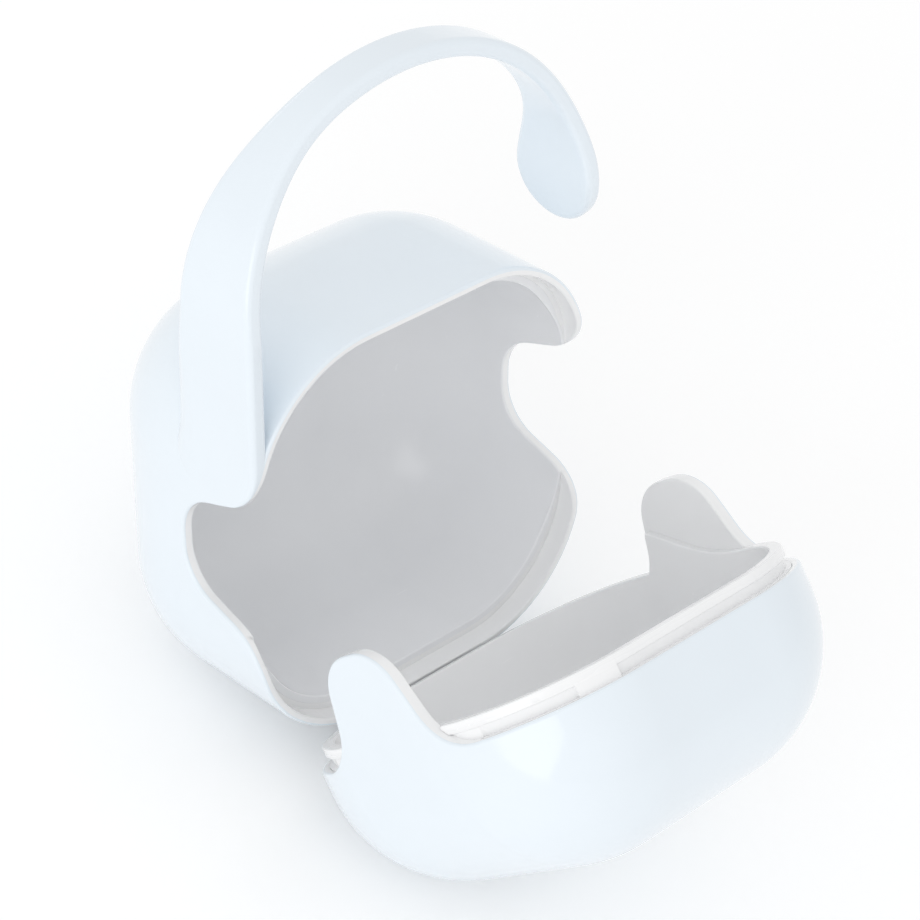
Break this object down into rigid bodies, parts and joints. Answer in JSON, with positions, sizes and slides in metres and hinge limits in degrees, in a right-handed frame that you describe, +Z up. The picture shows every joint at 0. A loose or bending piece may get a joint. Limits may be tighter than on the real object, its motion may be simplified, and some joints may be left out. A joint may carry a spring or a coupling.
{
  "type": "pacifier case",
  "caption": "Rounded two-part pacifier case, shown open: hollow body with a carrying hook on one flank, hinged lid with ears and a snap lip.",
  "frame": {"origin": "middle of the bounding box on the floor that the open case stands on", "axes": "+X along the hinge from the hook's leg to its free end, -Y towards the open lid, +Z up"},
  "size_m": [0.0685, 0.106, 0.1038],
  "materials": {
    "shell": "glossy moulded plastic, very pale ice blue",
    "liner": "smooth moulded plastic, white",
    "pin": "drawn steel wire"
  },
  "bodies": {
    "body": {"body_shell": "shell", "body_liner": "liner", "hinge_pin": "pin"},
    "lid": {"lid_shell": "shell", "lid_liner": "liner"}
  },
  "joints": [
    {"name": "lid_hinge", "type": "hinge", "parent": "body", "child": "lid", "pos_m": [-0.00125, -0.00084, 0.00527], "axis": [-1, 0, 0], "range_deg": [0, 52.8]}
  ]
}
